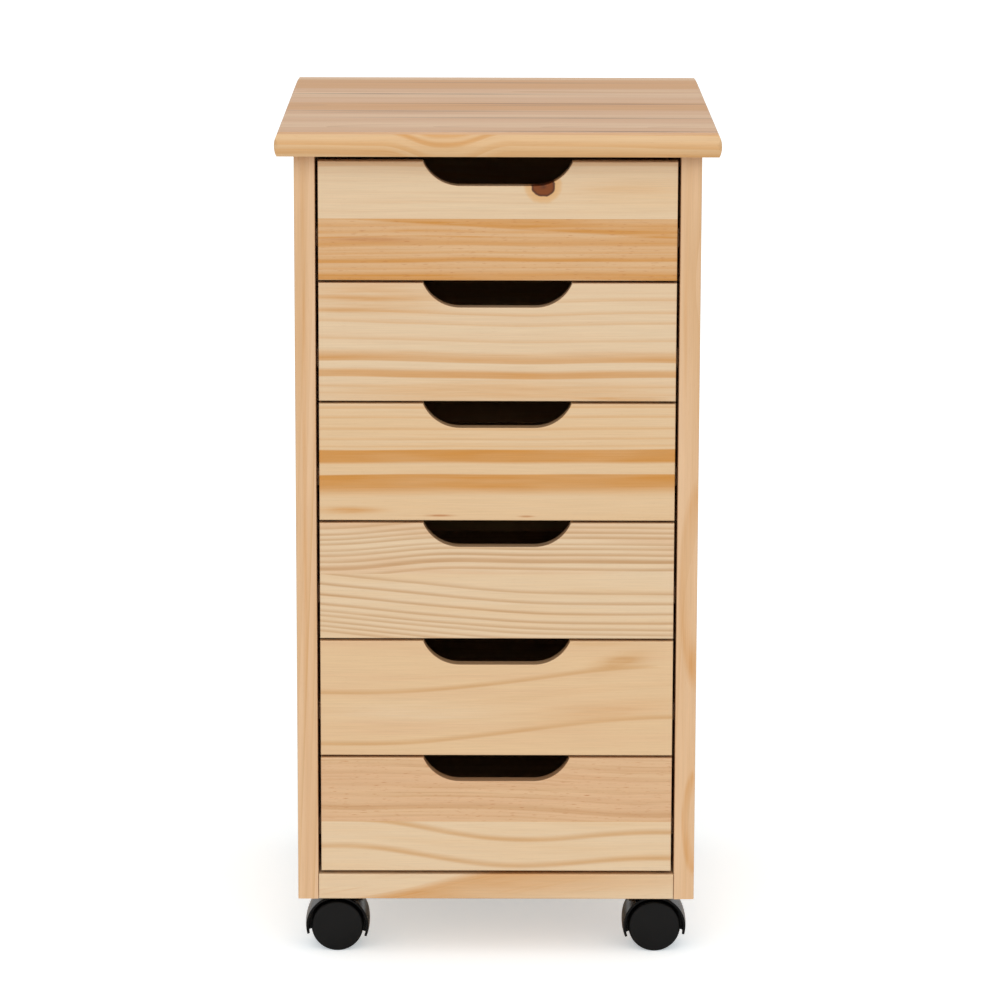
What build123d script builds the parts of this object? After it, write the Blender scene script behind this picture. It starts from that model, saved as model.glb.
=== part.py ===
from build123d import *
import os

# Pine drawer cart on swivel casters. Millimetres, +Z up, the floor at z = 0, the front towards -Y.
# The origin is on the floor, under the middle of the top board.

# Carcass boards
CARCASS_WIDTH = 302.5  # over both side panels
CARCASS_DEPTH = 366.0  # front edge to back edge of a side panel
SIDE_HEIGHT = 572.0
SIDE_THICKNESS = 15.5
BASE_THICKNESS = 19.5
BASE_END_GAP = 0.4  # assembly gap at each end of the base board
BOARD_EASE = 1.0  # sanded radius on long edges

# Top board, flush with the carcass at the back
TOP_THICKNESS = 18.0
TOP_OVERHANG = 14.0  # past the front and both sides
NOSE_DROP = 10.2  # widest line below the top face
NOSE_SETBACK = 3.7  # top face's edge in from the widest line
NOSE_UNDERCUT = 2.0  # drawn in from the widest line to the underside
TOP_CORNER = 4.0  # front corners, seen from above

# Back panel, let into rabbets of the side panels
BACK_THICKNESS = 4.0
BACK_RECESS = 1.0  # in front of the side panels' back edges
BACK_RABBET = 8.0
BACK_PLAY = 0.3
NAIL_SHANK = 1.4
NAIL_LENGTH = 16.0
NAIL_HEAD = 4.0
NAIL_HEAD_HEIGHT = 0.8
SIDE_NAIL_COUNT = 5
BASE_NAIL_COUNT = 3
NAIL_MARGIN = 40.0  # first and last nail from the panel's edges

# Drawers
DRAWER_COUNT = 6
DRAWER_SIDE_GAP = 2.3
DRAWER_GAP = 2.1  # between one front and the next
BOTTOM_GAP = 2.8
TOP_GAP = 4.8
DRAWER_BACK_GAP = 11.0  # behind a closed drawer
FRONT_THICKNESS = 12.0
FRONT_LIP = 5.0  # what the front keeps over the ends of its sides
FRONT_EASE = 1.0
GRIP_WIDTH = 111.0  # at the front's upper edge
GRIP_DEPTH = 18.2
GRIP_RADIUS = 30.0
WALL_THICKNESS = 12.0
WALL_EASE = 1.5
DRAWER_BACK_THICKNESS = 10.0
BACK_DADO = 4.0  # how far the drawer back runs into each side
BOX_LIFT = 3.0  # lower edge of the box above the front's lower edge
BOX_DROP = 19.0  # upper edge of the box below the front's upper edge
PANEL_THICKNESS = 3.0
PANEL_LIFT = 5.0  # drawer bottom above the lower edge of the box
PANEL_TONGUE = 5.0  # how far the drawer bottom runs into its grooves
PANEL_PLAY = 0.2

# Runners, one strip each side of a drawer
RUNNER_HEIGHT = 13.5
RUNNER_LIFT = 22.0  # lower face above the drawer front's lower edge
RUNNER_SETBACK = 20.0  # its front end behind the front end of the drawer's side
RUNNER_BITE = 5.2  # how far it stands in the drawer's groove
RUNNER_PLAY = 0.3  # over the runner, and before its front end
GROOVE_SLACK = 0.7  # under the runner, and beside it
RUNNER_BACK_GAP = 26.0  # from its back end to the back panel
RUNNER_SCREW_INSET = 45.0  # from each end of a runner

# Carcass joints
DOWEL_DIAMETER = 8.0
DOWEL_LENGTH = 28.0
DOWEL_IN_FACE = 10.0  # depth in the board that is drilled on its face
HOLE_SPARE = 1.0  # how much deeper a blind hole is than what it holds
DRILL_PLAY = 0.05  # radial play in drilled holes
CAM_BOLT_DIAMETER = 6.0
CAM_BOLT_NECK = 4.0
CAM_BOLT_HEAD_LENGTH = 4.0
CAM_BOLT_IN_FACE = 11.0
CAM_REACH = 34.0  # middle of the cam disc from the board's end
CAM_DIAMETER = 15.0
CAM_THICKNESS = 12.0
CAM_SLOT = 2.0
CAM_SLOT_DEPTH = 2.5
TOP_CAM_SPREAD = 220.0  # between the two cams of one upper joint
TOP_DOWEL_SPREAD = 280.0
BASE_CAM_SPREAD = 170.0
BASE_DOWEL_SPREAD = 110.0

# Wood screws
SCREW_SHANK = 3.0
SCREW_HEAD = 6.0
SCREW_HEAD_HEIGHT = 1.8
SCREW_LENGTH = 16.0
RECESS_WIDTH = 0.9
RECESS_DEPTH = 1.2
PLATE_SCREW_SHANK = 4.0
PLATE_SCREW_HEAD = 7.4
PLATE_SCREW_HEAD_HEIGHT = 2.0
PLATE_SCREW_LENGTH = 14.0  # under the head

# Casters
WHEEL_DIAMETER = 40.0
WHEEL_WIDTH = 11.0
WHEEL_CROWN = 1.0  # how far the face swells at its middle
WHEEL_EDGE = 2.4
WHEEL_INNER_EDGE = 0.8
WHEEL_RIM = 3.5  # wall under the tread
WHEEL_FACE = 4.0  # wall behind the face
WHEEL_HUB = 7.0  # radius
WHEEL_WEB_GAP = 0.5  # from the wheel to the hood's middle web
AXLE_DIAMETER = 5.0
AXLE_IN_WHEEL = 8.0
AXLE_END_GAP = 0.3
RUNNING_PLAY = 0.05  # radial, axle in wheel and stem in hood
HOOD_WEB = 13.0
HOOD_WALL = 2.0
HOOD_GAP = 2.0  # from the tread to the hood's rim
HOOD_CROWN = 0.8  # how much higher the hood is along its middle
HOOD_OVER_WHEEL = 0.6  # rim past the wheel's edge
HOOD_EASE = 0.7
HOOD_REAR_DIP = 15.0  # degrees below the axle, away from the stem
HOOD_STEM_DIP = 20.0  # degrees below the axle, on the stem's side
AXLE_BOSS = 6.0  # radius
HOOD_HEAD_GAP = 2.2  # from the hood's crown to the screw heads
TRAIL = 13.0  # axle behind the stem
STEM_DIAMETER = 8.0
STEM_WALL = 2.5
STEM_DEPTH = 20.5  # in the hood
STEM_END_GAP = 0.3
SEAT_GAP = 0.3  # from the hood's boss to the plate
PLATE_SIZE = 38.0
PLATE_THICKNESS = 2.0
PLATE_CORNER = 5.0
PLATE_HOLE_SPACING = 28.0
CASTER_SIDE_INSET = 26.2  # stem from the side panel's inner face
CASTER_END_INSET = 48.0  # stem from the front and from the back

# Places worked out from the sizes above
WHEEL_RADIUS = WHEEL_DIAMETER / 2
HOOD_RIM_RADIUS = WHEEL_RADIUS + HOOD_GAP + HOOD_WALL
HOOD_RADIUS = HOOD_RIM_RADIUS + HOOD_CROWN
PLATE_UNDERSIDE = WHEEL_RADIUS + HOOD_RADIUS + HOOD_HEAD_GAP + PLATE_SCREW_HEAD_HEIGHT
CARCASS_BOTTOM = PLATE_UNDERSIDE + PLATE_THICKNESS
TOP_UNDERSIDE = CARCASS_BOTTOM + SIDE_HEIGHT
TOP_FACE = TOP_UNDERSIDE + TOP_THICKNESS
BASE_TOP = CARCASS_BOTTOM + BASE_THICKNESS
NOSE_Y = -(CARCASS_DEPTH + TOP_OVERHANG) / 2
FRONT_Y = NOSE_Y + TOP_OVERHANG
BACK_Y = FRONT_Y + CARCASS_DEPTH
MIDDLE_Y = (FRONT_Y + BACK_Y) / 2
OUTER_X = CARCASS_WIDTH / 2
INNER_X = OUTER_X - SIDE_THICKNESS
SIDE_MIDDLE_X = (OUTER_X + INNER_X) / 2
BACK_OUTER_Y = BACK_Y - BACK_RECESS
BACK_INNER_Y = BACK_OUTER_Y - BACK_THICKNESS

FRONT_HALF = INNER_X - DRAWER_SIDE_GAP
STACK_HEIGHT = TOP_UNDERSIDE - TOP_GAP - BASE_TOP - BOTTOM_GAP
FRONT_HEIGHT = (STACK_HEIGHT - (DRAWER_COUNT - 1) * DRAWER_GAP) / DRAWER_COUNT
BOX_TOP = FRONT_HEIGHT - BOX_DROP
BOX_FRONT_Y = FRONT_Y + FRONT_LIP
FRONT_BACK_Y = FRONT_Y + FRONT_THICKNESS
BOX_BACK_Y = BACK_INNER_Y - DRAWER_BACK_GAP
BACK_FACE_Y = BOX_BACK_Y - DRAWER_BACK_THICKNESS
WALL_INNER_X = FRONT_HALF - WALL_THICKNESS
PANEL_Z = BOX_LIFT + PANEL_LIFT

RUNNER_THICKNESS = DRAWER_SIDE_GAP + RUNNER_BITE
RUNNER_FRONT_Y = BOX_FRONT_Y + RUNNER_SETBACK
GROOVE_FRONT_Y = RUNNER_FRONT_Y - RUNNER_PLAY
RUNNER_BACK_Y = BACK_INNER_Y - RUNNER_BACK_GAP
RUNNER_SCREW_YS = (RUNNER_FRONT_Y + RUNNER_SCREW_INSET, RUNNER_BACK_Y - RUNNER_SCREW_INSET)

WEB_HALF = HOOD_WEB / 2
WHEEL_INNER = WEB_HALF + WHEEL_WEB_GAP
WHEEL_OUTER = WHEEL_INNER + WHEEL_WIDTH
HOOD_HALF = WHEEL_OUTER + HOOD_OVER_WHEEL
AXLE_HALF = WHEEL_INNER + AXLE_IN_WHEEL
BOSS_TOP = PLATE_UNDERSIDE - SEAT_GAP
STEM_BOTTOM = BOSS_TOP - STEM_DEPTH
CASTER_X = INNER_X - CASTER_SIDE_INSET
CASTER_YS = {"front": FRONT_Y + CASTER_END_INSET, "rear": BACK_Y - CASTER_END_INSET}
SIDES = {"left": -1, "right": 1}


def drawer_z(number):
    """Height of a drawer front's lower edge. Drawer 1 is at the top."""
    return BASE_TOP + BOTTOM_GAP + (DRAWER_COUNT - number) * (FRONT_HEIGHT + DRAWER_GAP)


def block(x, y, z):
    """Box between two values on each axis."""
    sizes = [abs(high - low) for low, high in (x, y, z)]
    middle = [(low + high) / 2 for low, high in (x, y, z)]
    return Pos(*middle) * Box(*sizes)


UPWARDS = (Align.CENTER, Align.CENTER, Align.MIN)
DOWNWARDS = (Align.CENTER, Align.CENTER, Align.MAX)


def rod(start, axis, radius, length):
    """Cylinder from a point along a direction."""
    return Plane(origin=start, z_dir=axis) * Cylinder(radius, length, align=UPWARDS)


def group(solids):
    """Several separate solids as one shape."""
    return Compound([solid for shape in solids for solid in shape.solids()])


def eased(shape, axis, radius):
    """Shape with its edges along one axis rounded."""
    return fillet(shape.edges().filter_by(axis), radius)


def spread(distance):
    """Two places, evenly either side of the carcass's middle depth."""
    return (MIDDLE_Y - distance / 2, MIDDLE_Y + distance / 2)


def between(low, high, count):
    """Evenly spaced places from low to high."""
    return [low + (high - low) * i / (count - 1) for i in range(count)]


# Fasteners


def cross_recess(depth):
    """Cut for a cross-head driver, downwards from z = 0."""
    long_side = 4 * RECESS_WIDTH
    half = RECESS_WIDTH / 2
    one = block((-long_side / 2, long_side / 2), (-half, half), (-depth, depth))
    return one + Rot(0, 0, 90) * one


def countersunk_screw(play=0.0):
    """Screw with its head's face at z = 0, shank down. With play it is the hole for one."""
    cone = Cone(SCREW_SHANK / 2 + play, SCREW_HEAD / 2 + play, SCREW_HEAD_HEIGHT, align=DOWNWARDS)
    length = SCREW_LENGTH + (HOLE_SPARE if play else 0)
    screw = cone + rod((0, 0, 0), (0, 0, -1), SCREW_SHANK / 2 + play, length)
    return screw if play else screw - cross_recess(RECESS_DEPTH)


def runner_screw_places():
    """Where each runner screw's head lies, as planes that face into the carcass."""
    for side in SIDES.values():
        for number in range(1, DRAWER_COUNT + 1):
            z = drawer_z(number) + RUNNER_LIFT + RUNNER_HEIGHT / 2
            for y in RUNNER_SCREW_YS:
                yield Plane(origin=(side * (INNER_X - RUNNER_THICKNESS), y, z), z_dir=(-side, 0, 0))


def nail_places():
    """Where each back panel nail enters, on the panel's outer face."""
    x = INNER_X + BACK_RABBET / 2
    for side in SIDES.values():
        for z in between(CARCASS_BOTTOM + NAIL_MARGIN, TOP_UNDERSIDE - NAIL_MARGIN, SIDE_NAIL_COUNT):
            yield (side * x, BACK_OUTER_Y, z)
    for base_x in between(-INNER_X + NAIL_MARGIN, INNER_X - NAIL_MARGIN, BASE_NAIL_COUNT):
        yield (base_x, BACK_OUTER_Y, CARCASS_BOTTOM + BASE_THICKNESS / 2)


def nail(place):
    """Round-headed nail through the back panel."""
    shank = rod(place, (0, -1, 0), NAIL_SHANK / 2, NAIL_LENGTH)
    head = rod(place, (0, 1, 0), NAIL_HEAD / 2, NAIL_HEAD_HEIGHT)
    rim = head.faces().sort_by(Axis.Y)[-1].edges()
    return shank + fillet(rim, NAIL_HEAD_HEIGHT / 2)


def nail_holes():
    radius = NAIL_SHANK / 2 + DRILL_PLAY
    return [rod(place, (0, -1, 0), radius, NAIL_LENGTH + HOLE_SPARE) for place in nail_places()]


def dowel_places():
    """Each dowel's seam point and the direction from it into the board drilled on its face."""
    for side in SIDES.values():
        for y in spread(TOP_DOWEL_SPREAD):
            yield (side * SIDE_MIDDLE_X, y, TOP_UNDERSIDE), (0, 0, 1)
        for y in spread(BASE_DOWEL_SPREAD):
            yield (side * INNER_X, y, CARCASS_BOTTOM + BASE_THICKNESS / 2), (side, 0, 0)


def bar_across(seam, direction, radius, ahead, behind):
    """Round bar through a seam point, so far ahead along the direction and so far behind."""
    start = Vector(*seam) - Vector(*direction) * behind
    return rod(start, direction, radius, ahead + behind)


def dowels(play=0.0, spare=0.0):
    """All the dowels. With play and spare they are the holes for them."""
    radius = DOWEL_DIAMETER / 2 + play
    ahead = DOWEL_IN_FACE + spare
    behind = DOWEL_LENGTH - DOWEL_IN_FACE + spare
    return [bar_across(seam, way, radius, ahead, behind) for seam, way in dowel_places()]


def cam_places():
    """Each cam joint: its seam point, the way its bolt goes in, and the way its disc faces."""
    for side in SIDES.values():
        for y in spread(TOP_CAM_SPREAD):
            yield (side * SIDE_MIDDLE_X, y, TOP_UNDERSIDE), (0, 0, 1), (-side, 0, 0)
        for y in spread(BASE_CAM_SPREAD):
            yield (side * INNER_X, y, CARCASS_BOTTOM + BASE_THICKNESS / 2), (side, 0, 0), (0, 0, -1)


def cam_face(seam, way, facing):
    """Middle of a cam disc's outer face, level with the board's surface."""
    board = SIDE_THICKNESS if way[2] else BASE_THICKNESS
    return Vector(*seam) - Vector(*way) * CAM_REACH + Vector(*facing) * (board / 2)


def cam_bolt(seam, way):
    """Bolt screwed into one board, with a thin neck behind a head that its cam disc grips."""
    screwed = bar_across(seam, way, CAM_BOLT_DIAMETER / 2, CAM_BOLT_IN_FACE, 0)
    neck = bar_across(seam, way, CAM_BOLT_NECK / 2, 0, CAM_REACH)
    tip = Vector(*seam) - Vector(*way) * CAM_REACH
    return screwed + neck + bar_across(tip, way, CAM_BOLT_DIAMETER / 2, CAM_BOLT_HEAD_LENGTH, 0)


def cam_bolt_hole(seam, way):
    """Hole for a cam bolt in both boards, as wide as the bolt's head."""
    radius = CAM_BOLT_DIAMETER / 2 + DRILL_PLAY
    return bar_across(seam, way, radius, CAM_BOLT_IN_FACE + HOLE_SPARE, CAM_REACH + HOLE_SPARE)


def cam_disc(seam, way, facing):
    """Slotted disc round the head of a cam bolt."""
    outer = cam_face(seam, way, facing)
    disc = rod(outer, Vector(*facing) * -1, CAM_DIAMETER / 2, CAM_THICKNESS)
    half = CAM_SLOT / 2
    slot = block((-CAM_DIAMETER, CAM_DIAMETER), (-half, half), (-CAM_SLOT_DEPTH, CAM_SLOT_DEPTH))
    return disc - cam_bolt_hole(seam, way) - Plane(origin=outer, z_dir=facing) * slot


def cam_pocket(seam, way, facing):
    """Blind hole for a cam disc."""
    inward = Vector(*facing) * -1
    radius = CAM_DIAMETER / 2 + DRILL_PLAY
    return rod(cam_face(seam, way, facing), inward, radius, CAM_THICKNESS + HOLE_SPARE)


def joint_cuts():
    """Everything that the carcass boards are drilled for at their joints."""
    cuts = dowels(DRILL_PLAY, HOLE_SPARE)
    for seam, way, facing in cam_places():
        cuts += [cam_bolt_hole(seam, way), cam_pocket(seam, way, facing)]
    return cuts


def drilled(board, holes):
    """Board with those of the holes that reach it."""
    box = board.bounding_box()
    near = [hole for hole in holes if box.overlaps(hole.bounding_box())]
    return board - near if near else board


# Carcass


def nose_outline(end, straight_end):
    """Outline of the top board in (along, height), from a square end round a nose and back."""
    outward = 1 if end > straight_end else -1
    widest = (end, TOP_FACE - NOSE_DROP)
    below = (end - outward * NOSE_UNDERCUT, TOP_UNDERSIDE)
    above = (end - outward * NOSE_SETBACK, TOP_FACE)
    return [
        Line((straight_end, TOP_UNDERSIDE), below),
        TangentArc(widest, below, tangent=(0, -1)),
        TangentArc(widest, above, tangent=(0, 1)),
        Line(above, (straight_end, TOP_FACE)),
    ]


def top_board(cuts):
    """Edge-glued top with a rounded nose along its front and both sides."""
    half = OUTER_X + TOP_OVERHANG
    length = BACK_Y - NOSE_Y
    front_nose = nose_outline(NOSE_Y, BACK_Y) + [Line((BACK_Y, TOP_UNDERSIDE), (BACK_Y, TOP_FACE))]
    fore_and_aft = extrude(Plane.YZ * make_face(front_nose), amount=half, both=True)
    side_noses = nose_outline(half, 0) + nose_outline(-half, 0)
    across = extrude(Plane.XZ * make_face(side_noses), amount=length, both=True)
    plan = extrude(Rectangle(2 * half, length), amount=TOP_FACE + TOP_THICKNESS)
    corners = plan.edges().filter_by(Axis.Z).sort_by(Axis.Y)[:2]
    return drilled(fore_and_aft & across & fillet(corners, TOP_CORNER), cuts)


def side_panel(side, cuts):
    """Upright panel with a rabbet for the back and holes for its runners and joints."""
    panel = block((INNER_X, OUTER_X), (FRONT_Y, BACK_Y), (CARCASS_BOTTOM, TOP_UNDERSIDE))
    panel = eased(panel, Axis.Z, BOARD_EASE)
    rabbet = block((0, INNER_X + BACK_RABBET), (BACK_INNER_Y, BACK_Y), (CARCASS_BOTTOM, TOP_UNDERSIDE))
    panel = panel - rabbet
    placed = panel if side > 0 else mirror(panel, about=Plane.YZ)
    screws = [place * countersunk_screw(DRILL_PLAY) for place in runner_screw_places()]
    return drilled(placed, cuts + screws + nail_holes())


def base_board(cuts):
    """Bottom board between the side panels, which carries the casters."""
    half = INNER_X - BASE_END_GAP
    board = block((-half, half), (FRONT_Y, BACK_INNER_Y), (CARCASS_BOTTOM, BASE_TOP))
    return drilled(eased(board, Axis.X, BOARD_EASE), cuts + nail_holes() + plate_screw_holes())


def back_panel():
    """Thin panel nailed into the rabbets and to the base board's back edge."""
    half = INNER_X + BACK_RABBET - BACK_PLAY
    height = (CARCASS_BOTTOM, TOP_UNDERSIDE - BACK_PLAY)
    panel = block((-half, half), (BACK_INNER_Y, BACK_OUTER_Y), height)
    return drilled(panel, nail_holes())


def runners():
    """Two strips for each drawer, screwed to the side panels. Their front ends stop the drawers."""
    holes = [place * countersunk_screw(DRILL_PLAY) for place in runner_screw_places()]
    strips = []
    for side in SIDES.values():
        for number in range(1, DRAWER_COUNT + 1):
            z = drawer_z(number) + RUNNER_LIFT
            x = (side * (INNER_X - RUNNER_THICKNESS), side * INNER_X)
            strip = block(x, (RUNNER_FRONT_Y, RUNNER_BACK_Y), (z, z + RUNNER_HEIGHT))
            strips.append(drilled(strip, holes))
    return strips


# Drawers, modelled with the front's lower edge at z = 0


def grip_cut():
    """Finger grip in the front's upper edge: a flat floor with an arc up to each corner."""
    half = GRIP_WIDTH / 2
    floor = FRONT_HEIGHT - GRIP_DEPTH
    reach = (GRIP_RADIUS**2 - (GRIP_RADIUS - GRIP_DEPTH) ** 2) ** 0.5
    flat = half - reach
    outline = [
        Line((-flat, floor), (flat, floor)),
        TangentArc((flat, floor), (half, FRONT_HEIGHT), tangent=(1, 0)),
        Line((half, FRONT_HEIGHT), (-half, FRONT_HEIGHT)),
        TangentArc((-flat, floor), (-half, FRONT_HEIGHT), tangent=(-1, 0)),
    ]
    face = Pos(0, FRONT_Y + FRONT_THICKNESS / 2, 0) * (Plane.XZ * make_face(outline))
    return extrude(face, amount=FRONT_THICKNESS, both=True)


def on_grip(point):
    """Whether an edge's middle lies on the finger grip."""
    return abs(point.X) < GRIP_WIDTH / 2 and 0 < FRONT_HEIGHT - point.Z - FRONT_EASE < GRIP_DEPTH


def panel_groove():
    """Slot all round the inside of the box for the drawer bottom."""
    half = WALL_INNER_X + PANEL_TONGUE
    y = (FRONT_BACK_Y - PANEL_TONGUE, BACK_FACE_Y + PANEL_TONGUE)
    return block((-half, half), y, (PANEL_Z - PANEL_PLAY, PANEL_Z + PANEL_THICKNESS + PANEL_PLAY))


def drawer_front():
    """Front with a finger grip, rabbeted at each end over the drawer sides."""
    front = block((-FRONT_HALF, FRONT_HALF), (FRONT_Y, FRONT_BACK_Y), (0, FRONT_HEIGHT)) - grip_cut()
    face_edges = front.faces().sort_by(Axis.Y)[0].edges()
    back_edges = front.faces().sort_by(Axis.Y)[-1].edges()
    grip_edges = back_edges.filter_by(lambda e: on_grip(e.center()))
    front = fillet(face_edges + grip_edges, FRONT_EASE)
    for side in SIDES.values():
        x = (side * WALL_INNER_X, side * (FRONT_HALF + FRONT_LIP))
        front = front - block(x, (BOX_FRONT_Y, FRONT_BACK_Y + FRONT_LIP), (-BOX_LIFT, BOX_TOP))
    return front - panel_groove()


def drawer_side(side):
    """Side with a stopped groove for the runner outside, and one for the bottom and a dado inside."""
    wall = block((WALL_INNER_X, FRONT_HALF), (BOX_FRONT_Y, BOX_BACK_Y), (BOX_LIFT, BOX_TOP))
    upper_edges = wall.faces().sort_by(Axis.Z)[-1].edges().filter_by(Axis.Y)
    wall = fillet(upper_edges, WALL_EASE)
    groove_x = (FRONT_HALF - RUNNER_BITE - GROOVE_SLACK, FRONT_HALF + GROOVE_SLACK)
    groove_z = (RUNNER_LIFT - GROOVE_SLACK, RUNNER_LIFT + RUNNER_HEIGHT + RUNNER_PLAY)
    wall = wall - block(groove_x, (GROOVE_FRONT_Y, BOX_BACK_Y), groove_z)
    dado = block((0, WALL_INNER_X + BACK_DADO), (BACK_FACE_Y, BOX_BACK_Y), (BOX_LIFT, BOX_TOP))
    slot_x = (0, WALL_INNER_X + PANEL_TONGUE)
    slot_z = (PANEL_Z - PANEL_PLAY, PANEL_Z + PANEL_THICKNESS + PANEL_PLAY)
    wall = wall - dado - block(slot_x, (BOX_FRONT_Y, BACK_FACE_Y + PANEL_TONGUE), slot_z)
    return wall if side > 0 else mirror(wall, about=Plane.YZ)


def drawer_back():
    """Back board, held in a dado of each side."""
    half = WALL_INNER_X + BACK_DADO
    board = block((-half, half), (BACK_FACE_Y, BOX_BACK_Y), (BOX_LIFT, BOX_TOP - WALL_EASE))
    return board - panel_groove()


def drawer_bottom():
    """Thin bottom, loose in the groove."""
    half = WALL_INNER_X + PANEL_TONGUE - PANEL_PLAY
    y = (FRONT_BACK_Y - PANEL_TONGUE + PANEL_PLAY, BACK_FACE_Y + PANEL_TONGUE - PANEL_PLAY)
    return block((-half, half), y, (PANEL_Z, PANEL_Z + PANEL_THICKNESS))


# Casters, modelled on the stem's axis with the wheels trailing towards +X


def axle_axis():
    return Axis((TRAIL, 0, WHEEL_RADIUS), (0, -1, 0))


def hood_sector(outline):
    """Turns an outline in (radius, along the axle) round the axle, over the top from tip to tip."""
    start = Pos(TRAIL, 0, WHEEL_RADIUS) * Rot(0, HOOD_REAR_DIP, 0)
    return revolve(start * make_face(outline), axle_axis(), 180 + HOOD_REAR_DIP + HOOD_STEM_DIP)


def caster_hood():
    """One-piece hood: an arched fender over both wheels, a middle web and a boss for the stem."""
    outer = HOOD_RIM_RADIUS
    inner = HOOD_RIM_RADIUS - HOOD_WALL
    fender = hood_sector(
        [
            ThreePointArc((outer, -HOOD_HALF), (HOOD_RADIUS, 0), (outer, HOOD_HALF)),
            Line((outer, HOOD_HALF), (inner, HOOD_HALF)),
            ThreePointArc((inner, HOOD_HALF), (HOOD_RADIUS - HOOD_WALL, 0), (inner, -HOOD_HALF)),
            Line((inner, -HOOD_HALF), (outer, -HOOD_HALF)),
        ]
    )
    rims = fender.edges().filter_by(lambda e: abs(abs(e.center().Y) - HOOD_HALF) < HOOD_WALL / 4)
    fender = fillet(rims.filter_by(GeomType.CIRCLE), HOOD_EASE)
    reach = HOOD_RADIUS - HOOD_WALL / 2
    corners = [(0, -WEB_HALF), (reach, -WEB_HALF), (reach, WEB_HALF), (0, WEB_HALF)]
    web = hood_sector(Polyline(*corners, close=True))
    axle_boss = rod((TRAIL, -WEB_HALF, WHEEL_RADIUS), (0, 1, 0), AXLE_BOSS, HOOD_WEB)
    boss_radius = STEM_DIAMETER / 2 + STEM_WALL
    stem_boss = rod((0, 0, WHEEL_RADIUS), (0, 0, 1), boss_radius, BOSS_TOP - WHEEL_RADIUS)
    axle_hole = rod((TRAIL, -HOOD_HALF, WHEEL_RADIUS), (0, 1, 0), AXLE_DIAMETER / 2, 2 * HOOD_HALF)
    stem_radius = STEM_DIAMETER / 2 + RUNNING_PLAY
    stem_hole = rod((0, 0, BOSS_TOP), (0, 0, -1), stem_radius, STEM_DEPTH + STEM_END_GAP)
    return fender + web + axle_boss + stem_boss - axle_hole - stem_hole


def caster_axle():
    return rod((TRAIL, -AXLE_HALF, WHEEL_RADIUS), (0, 1, 0), AXLE_DIAMETER / 2, 2 * AXLE_HALF)


def caster_wheel(facing):
    """Cup-shaped wheel with a swelling face and a blind bore. Facing is -1 for the wheel towards -Y."""
    edge_y = WHEEL_OUTER - WHEEL_EDGE
    bore = AXLE_DIAMETER / 2 + RUNNING_PLAY
    bore_end = AXLE_HALF + AXLE_END_GAP
    cup_radius = WHEEL_RADIUS - WHEEL_RIM
    cup_end = WHEEL_OUTER - WHEEL_FACE
    face_end = (WHEEL_RADIUS - WHEEL_EDGE, WHEEL_OUTER)
    swell = (face_end[0] / 2, WHEEL_OUTER + WHEEL_CROWN * 3 / 4)
    round_off = (1 - 0.5**0.5) * WHEEL_EDGE
    edge_middle = (WHEEL_RADIUS - round_off, WHEEL_OUTER - round_off)
    outline = [
        Line((0, bore_end), (0, WHEEL_OUTER + WHEEL_CROWN)),
        ThreePointArc((0, WHEEL_OUTER + WHEEL_CROWN), swell, face_end),
        ThreePointArc(face_end, edge_middle, (WHEEL_RADIUS, edge_y)),
        Polyline(
            (WHEEL_RADIUS, edge_y),
            (WHEEL_RADIUS, WHEEL_INNER + WHEEL_INNER_EDGE),
            (WHEEL_RADIUS - WHEEL_INNER_EDGE, WHEEL_INNER),
            (cup_radius, WHEEL_INNER),
            (cup_radius, cup_end),
            (WHEEL_HUB, cup_end),
            (WHEEL_HUB, WHEEL_INNER),
            (bore, WHEEL_INNER),
            (bore, bore_end),
            (0, bore_end),
        ),
    ]
    wheel = revolve(Pos(TRAIL, 0, WHEEL_RADIUS) * make_face(outline), axle_axis())
    return wheel if facing > 0 else mirror(wheel, about=Plane.XZ)


def plate_corners():
    """Centres of the four holes of a caster plate."""
    half = PLATE_HOLE_SPACING / 2
    return [(x, y) for x in (-half, half) for y in (-half, half)]


def caster_plate():
    """Square steel plate with a hole at each corner and one for the stem."""
    outline = RectangleRounded(PLATE_SIZE, PLATE_SIZE, PLATE_CORNER)
    holes = [Pos(x, y) * Circle(PLATE_SCREW_SHANK / 2 + DRILL_PLAY) for x, y in plate_corners()]
    face = outline - holes - Circle(STEM_DIAMETER / 2 + DRILL_PLAY)
    return Pos(0, 0, PLATE_UNDERSIDE) * extrude(face, amount=PLATE_THICKNESS)


def caster_stem():
    """Stem riveted in the plate, on which the hood swivels."""
    return rod((0, 0, STEM_BOTTOM), (0, 0, 1), STEM_DIAMETER / 2, CARCASS_BOTTOM - STEM_BOTTOM)


def plate_screw():
    """Pan-head screw up through the plate at the origin's own axis."""
    seat = (0, 0, PLATE_UNDERSIDE)
    head = rod(seat, (0, 0, -1), PLATE_SCREW_HEAD / 2, PLATE_SCREW_HEAD_HEIGHT)
    lower_rim = head.faces().sort_by(Axis.Z)[0].edges()
    head = fillet(lower_rim, PLATE_SCREW_HEAD_HEIGHT / 2)
    recess = Pos(0, 0, PLATE_UNDERSIDE - PLATE_SCREW_HEAD_HEIGHT) * cross_recess(RECESS_DEPTH)
    return head - recess + rod(seat, (0, 0, 1), PLATE_SCREW_SHANK / 2, PLATE_SCREW_LENGTH)


def caster_places():
    """Each caster's name and where its stem stands. The wheels trail outwards."""
    for end, y in CASTER_YS.items():
        for name, side in SIDES.items():
            turn = 0 if side > 0 else 180
            yield f"{end}_{name}", Pos(side * CASTER_X, y, 0) * Rot(0, 0, turn)


def plate_screw_places():
    return [place * Pos(x, y, 0) for _, place in caster_places() for x, y in plate_corners()]


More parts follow.
